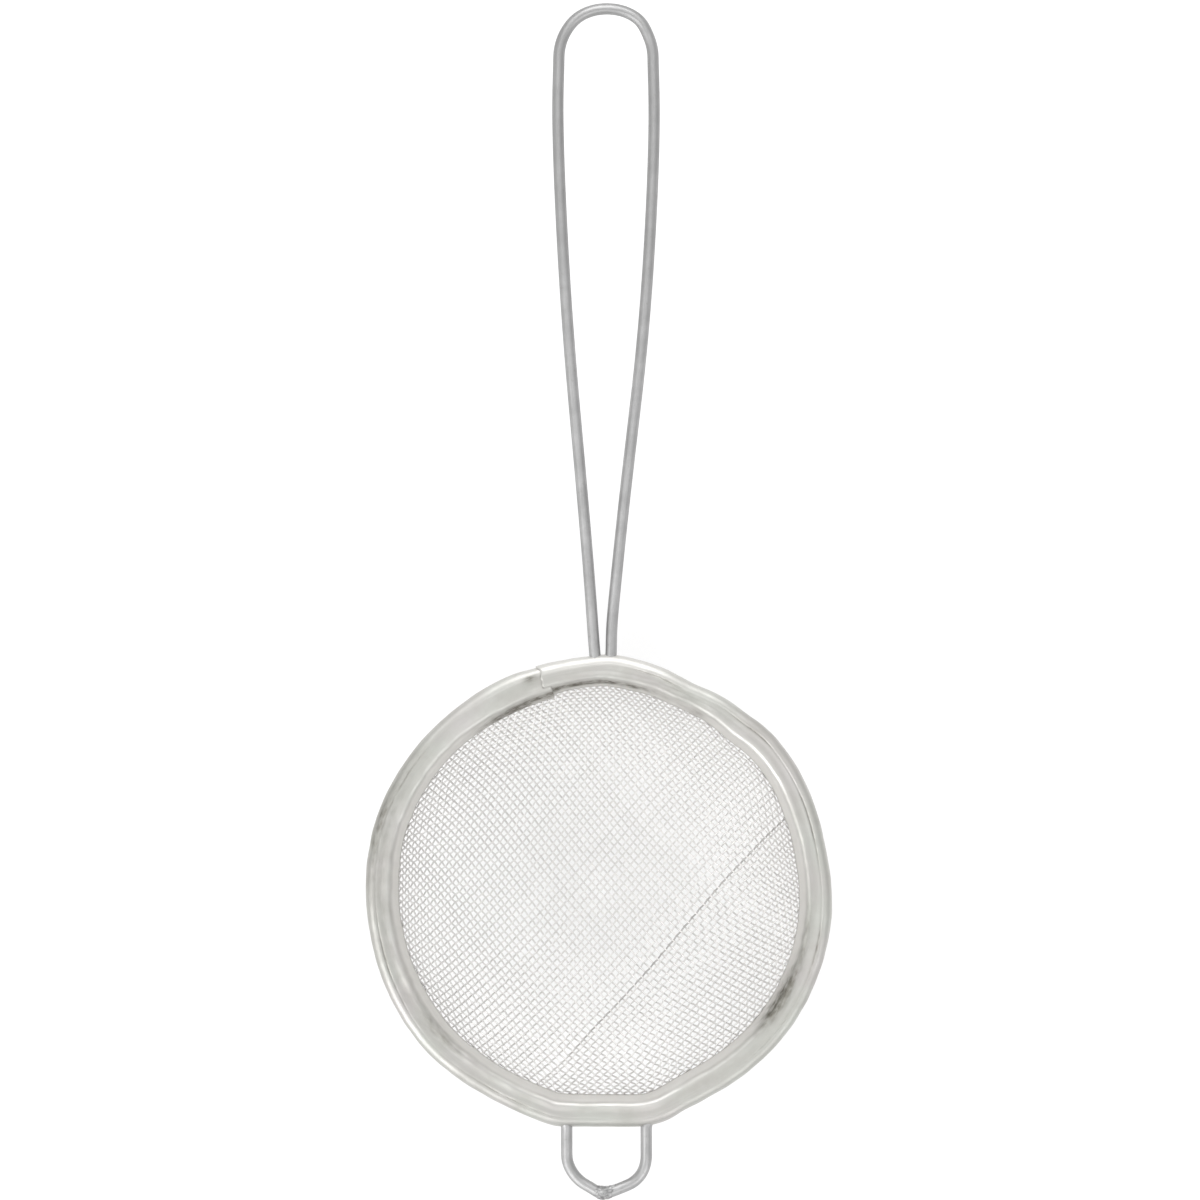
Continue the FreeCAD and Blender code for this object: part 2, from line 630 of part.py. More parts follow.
def build_weld_bead():
    """The lens of weld metal that fills the gap between the wire's ends and covers the joint."""
    body = doc.addObject("PartDesign::Body", "ear_weld_bead")
    half_length = size("bead_half_length")
    height = size("bead_radius")
    crown = (half_length ** 2 + height ** 2) / (2 * height)
    reach = -size("ear_reach")
    centre = (0.0, reach + height - crown)
    spread = math.degrees(math.asin(half_length / crown))
    section = new_sketch(body, "bead_section", "XY_Plane")
    dome, base = add_chain(
        section,
        [arc(centre, crown, 90 - spread, 90 + spread), line((-half_length, reach), (half_length, reach))],
        ["Coincident", "Coincident"])
    on_axis(section, dome, 3)
    section.addConstraint(Sketcher.Constraint("Horizontal", base))
    drive(section, "reach", "0 - ear_reach", "DistanceY", -1, 1, base, 1)
    drive(section, "length", "2 * bead_half_length", "DistanceX", base, 1, base, 2)
    drive(section, "crown",
          "(bead_half_length * bead_half_length + bead_radius * bead_radius) / (2 * bead_radius)",
          "Radius", dome)
    lens = body.newObject("PartDesign::Revolution", "lens")
    lens.Profile = section
    lens.ReferenceAxis = (section, ["Edge2"])
    lens.Angle = 360
    doc.recompute()

    path = new_sketch(body, "bore_path", "XY_Plane")
    pieces = wire_pieces()[:2]
    tip_radius = size("ear_tip_radius")
    near = size("weld_gap") / 2 - size("bead_play")
    tip_centre = (0.0, reach + tip_radius)
    start = -90 + math.degrees(math.asin(near / tip_radius))
    tip = arc(tip_centre, tip_radius, start, -90 + size("ear_tip_slope"))
    numbers = add_chain(path, [tip, pieces[1]])
    on_axis(path, numbers[0], 3)
    drive(path, "tip_centre", "ear_tip_radius - ear_reach", "DistanceY", -1, 1, numbers[0], 3)
    dimension_radius(path, "tip", "ear_tip_radius", numbers[0])
    drive(path, "start", "weld_gap / 2 - bead_play", "DistanceX", -1, 1, numbers[0], 1)
    drive(path, "slant", "ear_tip_slope", "Angle", numbers[1])
    path.addConstraint(Sketcher.Constraint("Distance", numbers[1], pieces[1][0].length()))

    bore = new_sketch(body, "bore_section", "YZ_Plane")
    bore.AttachmentOffset.Base.z = near
    bore.setExpression(".AttachmentOffset.Base.z", cell("weld_gap / 2 - bead_play"))
    start_y = polar(tip_radius, start, tip_centre)[1]
    circle = bore.addGeometry(Part.Circle(Vector(start_y, 0, 0), Vector(0, 0, 1), wire_radius), False)
    dimension_radius(bore, "bore", "wire_diameter / 2 + bead_play", circle)
    bore.addConstraint(Sketcher.Constraint("PointOnObject", circle, 3, -1))
    bore.addConstraint(Sketcher.Constraint("DistanceX", -1, 1, circle, 3, start_y))
    right_bore = pipe(body, "PartDesign::SubtractivePipe", "right_bore", bore, path)
    doc.recompute()
    mirror_across_axis(body, "left_bore", [right_bore])
    return body


# --- Build, check and write ------------------------------------------------------------------------

parts = [build_frame_wire(), build_rim_band(), build_mesh_bowl(), build_weld_bead()]
for part in parts:
    part.Label = part.Name
doc.recompute()

troubles = [item.Name for item in doc.Objects if {"Invalid", "Error"} & set(item.State)]
if troubles:
    raise RuntimeError(f"these objects have errors: {troubles}")

os.makedirs("parts", exist_ok=True)
for part in parts:
    shape = part.Shape
    if shape.isNull() or not shape.isValid():
        raise RuntimeError(f"{part.Label} has no valid shape")
    shape.exportStep(f"parts/{part.Label}.step")
    print(part.Label, len(shape.Solids), "solid,", round(shape.Volume, 1), "mm3", shape.BoundBox)
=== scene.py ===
"""Looks of the tea strainer: drawn frame wire, folded sheet rim, woven wire bowl and the ear's weld.

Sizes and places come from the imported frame. Lengths in the shape code are millimetres in the row frame and
become metres where a mesh is made.
"""

import bpy
import math
import random

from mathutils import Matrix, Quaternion, Vector, noise


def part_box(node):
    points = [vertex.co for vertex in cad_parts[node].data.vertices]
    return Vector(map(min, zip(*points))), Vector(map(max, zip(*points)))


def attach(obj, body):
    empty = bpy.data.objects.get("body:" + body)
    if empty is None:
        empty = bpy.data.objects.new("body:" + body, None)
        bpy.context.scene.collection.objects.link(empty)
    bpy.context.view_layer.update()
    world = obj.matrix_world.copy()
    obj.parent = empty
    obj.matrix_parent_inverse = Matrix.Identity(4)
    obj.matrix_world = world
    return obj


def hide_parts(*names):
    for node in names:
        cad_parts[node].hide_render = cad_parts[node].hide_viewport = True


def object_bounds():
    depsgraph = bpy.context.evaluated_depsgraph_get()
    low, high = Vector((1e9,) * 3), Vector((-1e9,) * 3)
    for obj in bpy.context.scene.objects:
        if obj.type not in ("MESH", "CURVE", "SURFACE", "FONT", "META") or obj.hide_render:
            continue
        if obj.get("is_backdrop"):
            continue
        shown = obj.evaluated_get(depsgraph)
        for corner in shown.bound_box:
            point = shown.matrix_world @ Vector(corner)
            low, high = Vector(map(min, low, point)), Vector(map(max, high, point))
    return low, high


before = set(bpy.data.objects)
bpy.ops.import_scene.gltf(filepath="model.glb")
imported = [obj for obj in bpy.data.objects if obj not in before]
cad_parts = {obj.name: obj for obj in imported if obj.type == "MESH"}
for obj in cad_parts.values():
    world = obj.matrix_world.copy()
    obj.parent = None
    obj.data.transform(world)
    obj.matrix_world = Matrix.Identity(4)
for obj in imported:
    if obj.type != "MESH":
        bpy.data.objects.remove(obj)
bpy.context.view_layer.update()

MM = 0.001


def box_mm(node):
    """A CAD node's lowest and highest corners in millimetres."""
    low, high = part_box(node)
    return [value / MM for value in low], [value / MM for value in high]


# --- Sizes -------------------------------------------------------------------------------------------

wire_low, wire_high = box_mm("frame_wire")
band_low, band_high = box_mm("rim_band")
bead_low, bead_high = box_mm("ear_weld_bead")

WIRE_RADIUS = wire_high[2]
HANDLE_END = wire_high[1] - WIRE_RADIUS          # the wire's centre at the end of the handle
EAR_TIP = wire_low[1] + WIRE_RADIUS              # the wire's centre at the tip of the ear
ROLL_RADIUS = band_high[2]                       # outside of the strip where it rolls round the wire
RING_RADIUS = band_high[0] - ROLL_RADIUS         # the wire's centre line in the rim
CHORD = -band_low[1] - ROLL_RADIUS               # mouth centre to the roll's centre between the ear legs

# The folded strip, as its CAD section has it.
SHEET = 0.35
LEAN = math.radians(28)
FOLD_MID_RADIUS = 0.75 - SHEET / 2
LIP_EDGE = (30.13, -1.1)                         # radius and height of its inner skin's raw edge
CLAMP_DEPTH = 2.9
CLOTH = 0.50
CLOTH_PLAY = 0.05

# The bent wire.
EAR_SLOPE = 30.0
PEAK_SLOPE = 13.0
LEG_SLOPE = 5.4
EAR_HALF_WIDTH = 5.97
EAR_ROOT_BEND = 2.0
EAR_BEND = 5.0
EAR_TIP_BEND = 3.0
EAR_TIP_SLOPE = 26.0
HANDLE_HALF_WIDTH = 7.28
HANDLE_ROOT_BEND = 1.6
LEG_HALF_GAP = 1.25

# The cloth.
MESH_WIRE_RADIUS = 0.14
WARP_PITCH = 0.92
WEFT_PITCH = 0.97
WEAVE_SKEW = 4.6                                 # degrees by which both sets lean towards the handle's line


# --- Small helpers -----------------------------------------------------------------------------------

def smooth(low, high, value):
    """0 below low, 1 above high, and smooth between."""
    share = min(1.0, max(0.0, (value - low) / (high - low)))
    return share * share * (3 - 2 * share)


def bump(value, centre, width, height=1.0):
    """A bell curve."""
    return height * math.exp(-((value - centre) / width) ** 2)


def around(angle, centre):
    """Signed difference of two angles in degrees, from -180 to 180."""
    return (angle - centre + 180) % 360 - 180


def spots(angle, places):
    """Sum of bell curves at places round the rim, each with its angle, width and height."""
    return sum(bump(around(angle, place), 0, width, height) for place, width, height in places)


def polar(radius, degrees, centre=(0.0, 0.0)):
    """A point at a polar angle about a centre."""
    angle = math.radians(degrees)
    return (centre[0] + radius * math.cos(angle), centre[1] + radius * math.sin(angle))


# The real frame isn't quite true. These say by how many millimetres its wire stands to one side; places are
# distances from the mouth's centre along the handle's line.
SHIFT_STARTS = (18, 33)                          # handle and ear are shifted from here on
# Further than this to the side and nearer than this along the line, the rim holds the wire in its place.
HELD_BESIDE = (8, 12)
HELD_WITHIN = (34, 40)
LEGS_APART = 2                                   # distance to the side where a point belongs to one leg
HANDLE_SHIFT = 0.35
HANDLE_LEAN = [(28, 95, 0.62), (128, 131, 0.15)]  # start and end of each rise of the lean, and its height
HANDLE_KINK = (34.5, 3.5, 0.16)                  # place, width and height of a kink at the foot
EAR_SHIFT = 1.05
EAR_KINK = (-43.2, 2, 0.15)
EAR_TIP_LEAN = (44, 46.2, -0.60)                 # the tip turns back towards the middle
# Where each leg of the handle stands outwards (+) or inwards (-): place, width, height.
LEG_BULGES = [(112, 12, 0.06), (54, 28, -0.37), (126, 6, -0.22), (131.3, 1.8, 0.30), (34.5, 3.5, 0.13)]


def rise(value, low, high, height):
    """A smooth step of a given height."""
    return height * smooth(low, high, value)


def hand_bent(x, y):
    """A point's sideways place on the real frame, whose handle and ear lean and whose handle is waisted."""
    handle = smooth(*SHIFT_STARTS, y) * (HANDLE_SHIFT + sum(rise(y, *step) for step in HANDLE_LEAN))
    handle += bump(y, *HANDLE_KINK)
    waist = sum(bump(y, *bulge) for bulge in LEG_BULGES)
    ear = smooth(*SHIFT_STARTS, -y) * (EAR_SHIFT + bump(y, *EAR_KINK) + rise(-y, *EAR_TIP_LEAN))
    side = math.copysign(smooth(0, LEGS_APART, abs(x)), x)
    in_rim = smooth(*HELD_BESIDE, abs(x)) * (1 - smooth(*HELD_WITHIN, abs(y)))
    return x + (handle + waist * side + ear) * (1 - in_rim)


def make_mesh(name, vertices, faces, attributes=None):
    """A smooth-shaded piece from points in millimetres, with float or vector point attributes."""
    mesh = bpy.data.meshes.new(name)
    mesh.from_pydata([(x * MM, y * MM, z * MM) for x, y, z in vertices], [], faces)
    for key, values in (attributes or {}).items():
        kind = "FLOAT_VECTOR" if isinstance(values[0], tuple) else "FLOAT"
        layer = mesh.attributes.new(key, kind, "POINT")
        for item, value in zip(layer.data, values):
            if kind == "FLOAT":
                item.value = value
            else:
                item.vector = value
    mesh.polygons.foreach_set("use_smooth", [True] * len(mesh.polygons))
    piece = bpy.data.objects.new(name, mesh)
    bpy.context.scene.collection.objects.link(piece)
    return piece


def finish_piece(piece, material, slot, *nodes):
    """Give a piece its material and its body, and hide the CAD nodes that it stands for. The slot is not
    used.
    """
    piece.data.materials.append(material)
    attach(piece, "root")
    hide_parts(*nodes)


def tube(points, ups, radius, sides, closed, start):
    """Vertices and faces of a round tube along points; ups are directions that keep it from twisting."""
    count = len(points)
    vertices, faces = [], []
    for index, (point, up) in enumerate(zip(points, ups)):
        after = points[(index + 1) % count] if closed or index + 1 < count else point
        before = points[index - 1] if closed or index > 0 else point
        along = (after - before).normalized()
        side = along.cross(up).normalized()
        top = side.cross(along)
        for step in range(sides):
            turn = 2 * math.pi * step / sides
            vertices.append(point + (side * math.cos(turn) + top * math.sin(turn)) * radius)
    rings = count if closed else count - 1
    for ring in range(rings):
        low = start + ring * sides
        high = start + ((ring + 1) % count) * sides
        for step in range(sides):
            following = (step + 1) % sides
            faces.append((low + step, low + following, high + following, high + step))
    if not closed:
        faces.append(tuple(start + step for step in reversed(range(sides))))
        faces.append(tuple(start + (count - 1) * sides + step for step in range(sides)))
    return vertices, faces


# --- Materials ---------------------------------------------------------------------------------------

class Shader:
    """A material's node tree with short ways to add and link nodes."""

    def __init__(self, name):
        self.material = bpy.data.materials.new(name)
        self.material.use_nodes = True
        self.tree = self.material.node_tree
        self.surface = self.tree.nodes["Principled BSDF"]

    def add(self, kind, inputs=None, **settings):
        """A new node; each input is a socket to link or a plain value."""
        node = self.tree.nodes.new(kind)
        for key, value in settings.items():
            setattr(node, key, value)
        for key, value in (inputs or {}).items():
            if isinstance(value, bpy.types.NodeSocket):
                self.tree.links.new(value, node.inputs[key])
            else:
                node.inputs[key].default_value = value
        return node

    def link(self, source, key):
        """Link a socket to an input of the surface."""
        self.tree.links.new(source, self.surface.inputs[key])

    def place(self, scale=(1, 1, 1), attribute=None):
        """Coordinates in millimetres: the object's own, or a vector attribute, stretched by scale."""
        if attribute:
            source = self.add("ShaderNodeAttribute", attribute_name=attribute).outputs["Vector"]
        else:
            source = self.add("ShaderNodeTexCoord").outputs["Object"]
            scale = tuple(value / MM for value in scale)
        return self.add("ShaderNodeMapping", {"Vector": source, "Scale": scale}).outputs["Vector"]

    def noise(self, where, scale, detail=3.0, roughness=0.5):
        """A noise value about where; scale is in features per millimetre."""
        node = self.add("ShaderNodeTexNoise", {"Vector": where, "Scale": scale, "Detail": detail,
                                               "Roughness": roughness})
        return node.outputs["Fac"]

    def named(self, attribute):
        """The value of a point attribute."""
        return self.add("ShaderNodeAttribute", attribute_name=attribute).outputs["Fac"]

    def spread(self, value, low, high, start, end):
        """Map a value from low..high to start..end, held at the ends."""
        node = self.add("ShaderNodeMapRange", {"Value": value, "From Min": low, "From Max": high,
                                               "To Min": start, "To Max": end})
        return node.outputs["Result"]

    def blend(self, factor, first, second, mode="MIX"):
        """Mix two colours or colour sockets."""
        node = self.add("ShaderNodeMix", data_type="RGBA", blend_type=mode)
        for key, value in ((0, factor), (6, first), (7, second)):
            if isinstance(value, bpy.types.NodeSocket):
                self.tree.links.new(value, node.inputs[key])
            else:
                node.inputs[key].default_value = value
        return node.outputs[2]

    def times(self, first, second):
        """The product of two values or value sockets."""
        node = self.add("ShaderNodeMath", operation="MULTIPLY")
        for key, value in enumerate((first, second)):
            if isinstance(value, bpy.types.NodeSocket):
                self.tree.links.new(value, node.inputs[key])
            else:
                node.inputs[key].default_value = value
        return node.outputs[0]

    def relief(self, height, distance, strength, under=None):
        """A bump whose height of 1 is distance millimetres."""
        inputs = {"Height": height, "Distance": distance * MM, "Strength": strength}
        if under:
            inputs["Normal"] = under
        return self.add("ShaderNodeBump", inputs).outputs["Normal"]


def grey(value, tint=(0.0, 0.0, 0.0)):
    """A colour near a grey, moved by a small tint."""
    return (value + tint[0], value + tint[1], value + tint[2], 1.0)


# Tints added to a grey, in red, green and blue.
WARM = (0.014, 0.004, -0.022)
GREEN = (-0.004, 0.006, -0.028)
PINK = (0.012, -0.004, -0.018)
ROSE = (0.012, 0.0, -0.012)


def wire_material():
    """Drawn steel wire: fine lines along it, soft scratches and dull handled patches."""
    steel = Shader("drawn_wire")
    lines = steel.noise(steel.place((0.10, 3.0, 1.0), "flow"), 1.0, 4.0, 0.6)
    patches = steel.noise(steel.place(), 0.30, 4.0, 0.6)
    specks = steel.noise(steel.place(), 1.8, 5.0, 0.65)
    handled = steel.named("handled")
    colour = steel.blend(steel.spread(patches, 0.35, 0.65, 0, 1), grey(0.45), grey(0.56))
    colour = steel.blend(handled, colour, grey(0.34))
    colour = steel.blend(steel.spread(lines, 0.35, 0.65, 0, 0.45), colour, grey(0.32))
    colour = steel.blend(steel.spread(specks, 0.60, 0.75, 0, 0.5), colour, grey(0.28, WARM))
    steel.link(colour, "Base Color")
    steel.surface.inputs["Metallic"].default_value = 1.0
    steel.surface.inputs["Specular Tint"].default_value = grey(0.45)
    steel.link(steel.spread(lines, 0.3, 0.7, 0.40, 0.54), "Roughness")
    dents = steel.relief(patches, 0.05, 0.35)
    steel.link(steel.relief(lines, 0.012, 0.5, dents), "Normal")
    return steel.material


def strip_material():
    """Thin sheet, rolled and folded: cloudy patches, dull marks along it, a lip wall painted lighter against
    its shade, painted highlights, and dark marks of painted shade and grime.
    """
    steel = Shader("rolled_strip")
    lines = steel.noise(steel.place((0.08, 1.6, 1.0), "flow"), 1.0, 4.0, 0.55)
    clouds = steel.noise(steel.place((0.07, 0.40, 1.0), "flow"), 1.0, 3.0, 0.5)
    stains = steel.noise(steel.place(), 0.22, 4.0, 0.55)
    tints = steel.noise(steel.place(), 0.10, 2.0, 0.5)
    specks = steel.noise(steel.place((0.7, 3.0, 1.0), "flow"), 1.0, 3.0, 0.6)
    grime_and_shade = steel.named("grime_and_shade")
    painted_light = steel.named("painted_light")
    colour = steel.blend(steel.spread(tints, 0.40, 0.60, 0, 1), grey(0.55, PINK), grey(0.55, GREEN))
    colour = steel.blend(steel.spread(clouds, 0.35, 0.65, 0, 0.6), colour, grey(0.48, WARM))
    colour = steel.blend(steel.spread(stains, 0.45, 0.70, 0, 0.5), colour, grey(0.42, WARM))
    colour = steel.blend(steel.spread(lines, 0.55, 0.75, 0, 0.15), colour, grey(0.75))
    # Painted light: the lip's wall is painted lighter against its shade, and the fold and the roll's crest by
    # the handle carry painted highlights.
    colour = steel.blend(painted_light, colour, grey(0.76, WARM))
    # Painted shade in the grooves and along the lip's raw edge, and smudges that are partly grime and partly
    # painted shade.
    grime_and_shade_mask = steel.times(grime_and_shade, steel.spread(specks, 0.30, 0.60, 0.45, 1.0))
    colour = steel.blend(grime_and_shade_mask, colour, grey(0.15, WARM))
    steel.link(colour, "Base Color")
    steel.surface.inputs["Metallic"].default_value = 1.0
    steel.link(steel.spread(stains, 0.3, 0.7, 0.44, 0.58), "Roughness")
    beaten = steel.relief(clouds, 0.30, 0.35)
    steel.link(steel.relief(lines, 0.02, 0.3, beaten), "Normal")
    return steel.material


def cloth_material(name, light, dark, tint):
    """Fine woven wire: each wire its own tone, with duller stretches."""
    steel = Shader(name)
    tone = steel.named("tone")
    dull = steel.noise(steel.place(), 0.12, 4.0, 0.6)
    fine = steel.noise(steel.place(), 1.6, 3.0, 0.6)
    colour = steel.blend(tone, grey(0.16, tint), grey(light, tint))
    colour = steel.blend(steel.spread(dull, 0.4, 0.7, 0, 0.3), colour, grey(dark, tint))
    steel.link(colour, "Base Color")
    steel.surface.inputs["Metallic"].default_value = 1.0
    steel.link(steel.spread(fine, 0.3, 0.7, 0.36, 0.52), "Roughness")
    steel.link(steel.relief(fine, 0.02, 0.3), "Normal")
    return steel.material


def weld_material():
    """Rough grey weld metal with burnt specks and bright ground spots."""
    steel = Shader("weld_metal")
    lumps = steel.noise(steel.place(), 0.9, 4.0, 0.6)
    specks = steel.noise(steel.place(), 2.2, 4.0, 0.7)
    colour = steel.blend(steel.spread(specks, 0.38, 0.62, 0, 1), grey(0.24), grey(0.50))
    steel.link(colour, "Base Color")
    steel.surface.inputs["Metallic"].default_value = 1.0
    steel.link(steel.spread(lumps, 0.3, 0.7, 0.36, 0.60), "Roughness")
    steel.link(steel.relief(specks, 0.10, 0.5, steel.relief(lumps, 0.15, 0.5)), "Normal")
    return steel.material


# --- Frame wire --------------------------------------------------------------------------------------

WIRE_STEP = 0.5                                  # between points along the wire
WIRE_SIDES = 20
PEAK_START = 90 - PEAK_SLOPE
EAR_START = 90 - EAR_SLOPE


def arc_points(centre, radius, start, end):
    """Points of an arc, without its last one."""
    length = abs(math.radians(end - start)) * radius
    steps = max(4, round(length / WIRE_STEP), round(abs(end - start) / 6))
    return [polar(radius, start + (end - start) * step / steps, centre) for step in range(steps)]


def line_points(start, end):
    """Points of a straight run, without its last one."""
    steps = max(2, round(math.dist(start, end) / WIRE_STEP))
    return [(start[0] + (end[0] - start[0]) * step / steps, start[1] + (end[1] - start[1]) * step / steps)
            for step in range(steps)]


ROOT_INSET = 0.75                                # the legs leave the ring this far inside the roll's centre


def root_centre(bend, side, flank):
    """Centre of the bend that takes a leg out of the rim, hidden under the band's face."""
    angle = math.radians(flank)
    return (side, (RING_RADIUS - ROOT_INSET + bend - side * math.cos(angle)) / math.sin(angle))


def right_half_route():
    """Centre line of the wire's right half, from the ear's tip to the end of the handle."""
    tip_end = -90 + EAR_TIP_SLOPE
    tip = (0.0, EAR_TIP + EAR_TIP_BEND)
    run = EAR_HALF_WIDTH - EAR_BEND + (EAR_BEND - EAR_TIP_BEND) * math.cos(math.radians(tip_end))
    uphill = run * math.tan(math.radians(EAR_TIP_SLOPE))
    drop = (EAR_BEND - EAR_TIP_BEND) * math.sin(math.radians(tip_end))
    bend = (EAR_HALF_WIDTH - EAR_BEND, tip[1] + uphill - drop)
    low = root_centre(EAR_ROOT_BEND, EAR_HALF_WIDTH + EAR_ROOT_BEND, EAR_START)
    low = (low[0], -low[1])
    lean = math.radians(LEG_SLOPE)
    high = root_centre(HANDLE_ROOT_BEND, LEG_HALF_GAP + HANDLE_ROOT_BEND * math.cos(lean), PEAK_START)
    foot = polar(HANDLE_ROOT_BEND, 180 - LEG_SLOPE, high)
    end_centre = (0.0, HANDLE_END - HANDLE_HALF_WIDTH)
    climb = end_centre[1] - foot[1]
    spread = HANDLE_HALF_WIDTH - LEG_HALF_GAP
    swell = (math.sin(lean) * climb - math.cos(lean) * spread) / (1 - math.cos(lean))
    swell_centre = (HANDLE_HALF_WIDTH - swell, end_centre[1])

    route = arc_points(tip, EAR_TIP_BEND, -90, tip_end)
    route += line_points(polar(EAR_TIP_BEND, tip_end, tip), polar(EAR_BEND, tip_end, bend))
    route += arc_points(bend, EAR_BEND, tip_end, 0)
    route += line_points(polar(EAR_BEND, 0, bend), polar(EAR_ROOT_BEND, 180, low))
    route += arc_points(low, EAR_ROOT_BEND, 180, 180 - EAR_START)
    route += line_points(polar(EAR_ROOT_BEND, 180 - EAR_START, low), polar(RING_RADIUS, -EAR_START))
    route += arc_points((0, 0), RING_RADIUS, -EAR_START, PEAK_START)
    route += line_points(polar(RING_RADIUS, PEAK_START), polar(HANDLE_ROOT_BEND, PEAK_START + 180, high))
    route += arc_points(high, HANDLE_ROOT_BEND, PEAK_START + 180, 180 - LEG_SLOPE)
    route += line_points(foot, polar(swell, -LEG_SLOPE, swell_centre))
    route += arc_points(swell_centre, swell, -LEG_SLOPE, 0)
    route += arc_points(end_centre, HANDLE_HALF_WIDTH, 0, 90)
    return route


# Degrees from the handle's and from the ear's line over which the ring takes up the rim's dents.
DENTS_FROM_HANDLE = (6, 18)
DENTS_FROM_EAR = (13, 26)


def with_the_rim(x, y):
    """Move a point of the ring with the rim's dents; the legs and the ear stay as they are."""
    radius = math.hypot(x, y)
    angle = math.degrees(math.atan2(y, x))
    inside = smooth(*DENTS_FROM_HANDLE, abs(around(angle, 90)))
    inside *= smooth(*DENTS_FROM_EAR, abs(around(angle, -90)))
    inside *= 1 - smooth(RING_RADIUS + 1, RING_RADIUS + 2, radius)
    grown = 1 + inside * (rim_radius(angle) - RING_RADIUS) / radius
    return x * grown, y * grown


HANDLED_DULLNESS = 0.45                          # how dull the far half of the handle is from handling
HANDLED_FROM = (72.0, 108.0)                     # where along the handle it begins and is full
WOBBLE = 0.10                                    # sideways unevenness of the bent wire
SAGGING = 0.18                                   # the handle's unevenness in height


def frame_wire():
    """The whole wire as one closed tube, a little uneven as a hand-bent wire is."""
    right = right_half_route()
    left = [(-x, y) for x, y in reversed(right[1:])]
    flat = [with_the_rim(x, y) for x, y in right + [(0.0, HANDLE_END)] + left]
    points = []
    for x, y in flat:
        wobble = WOBBLE * noise.noise(Vector((x * 0.05, y * 0.035, 2.0))) * smooth(36, 60, abs(y))
        lift = SAGGING * noise.noise(Vector((x * 0.02, y * 0.02, 7.0))) * smooth(38, 80, y)
        points.append(Vector((hand_bent(x, y) + wobble, y, lift)))
    up = Vector((0, 0, 1))
    vertices, faces = tube(points, [up] * len(points), WIRE_RADIUS, WIRE_SIDES, True, 0)
    flow, handled, travelled = [], [], 0.0
    for index, point in enumerate(points):
        travelled += (point - points[index - 1]).length if index else 0.0
        flow += [(travelled, WIRE_RADIUS * 2 * math.pi * step / WIRE_SIDES, 0.0)
                 for step in range(WIRE_SIDES)]
        handled += [HANDLED_DULLNESS * smooth(*HANDLED_FROM, point.y)] * WIRE_SIDES
    piece = make_mesh("frame_wire_drawn", vertices, faces, {"flow": flow, "handled": handled})
    finish_piece(piece, wire_material(), "frame_wire", "frame_wire")


# --- Rim band ----------------------------------------------------------------------------------------

# Where the rim stands outside (+) or inside (-) its circle: angle and width in degrees, millimetres.
RIM_SHAPE = [(88, 6.5, 0.38), (65, 10, -0.92), (50, 6, -0.50), (12, 16, -0.50), (120, 26, -0.25),
             (162, 12, 0.22), (205, 10, 0.15), (222, 13, 0.45), (245, 9, 0.30), (260, 9, 0.95),
             (272, 7, 1.40), (284, 7, 1.0), (325, 22, 0.30)]
RIM_EASE = 0.08                                  # added to the circle all round
CORNER_SOFTNESS = 0.12                           # how softly the circle turns into the straight by the ear
STRAIGHT_REACH = 60                              # degrees to either side of the ear within which it lies


def rim_radius(angle):
    """Distance from the mouth's centre to the roll's centre line at a polar angle in degrees."""
    radius = RING_RADIUS + RIM_EASE + spots(angle, RIM_SHAPE)
    from_ear = abs(around(angle, -90))
    if from_ear < STRAIGHT_REACH:
        chord = CHORD / math.cos(math.radians(from_ear))
        radius = -CORNER_SOFTNESS * math.log(
            math.exp((RING_RADIUS - radius) / CORNER_SOFTNESS)
            + math.exp((RING_RADIUS - chord) / CORNER_SOFTNESS)) + RING_RADIUS
    return radius


def rim_point(angle):
    """The roll's centre line at a polar angle."""
    return Vector(polar(rim_radius(angle), angle) + (0,))


def rim_frame(angle):
    """The centre line's point and its outward normal."""
    step = 0.6
    ahead, behind = rim_point(angle + step), rim_point(angle - step)
    along = (ahead - behind).normalized()
    return rim_point(angle), Vector((along.y, -along.x, 0))


SKIRT_STEPS = 8
BEND_STEPS = 5
ROLL_STEPS = 14
FLOOR_STEPS = 5
# Shares of the face's width at which it has points, closest by the groove.
FACE_STEPS = (0.85, 0.7, 0.55, 0.4, 0.28, 0.21, 0.16, 0.12, 0.08, 0.04)


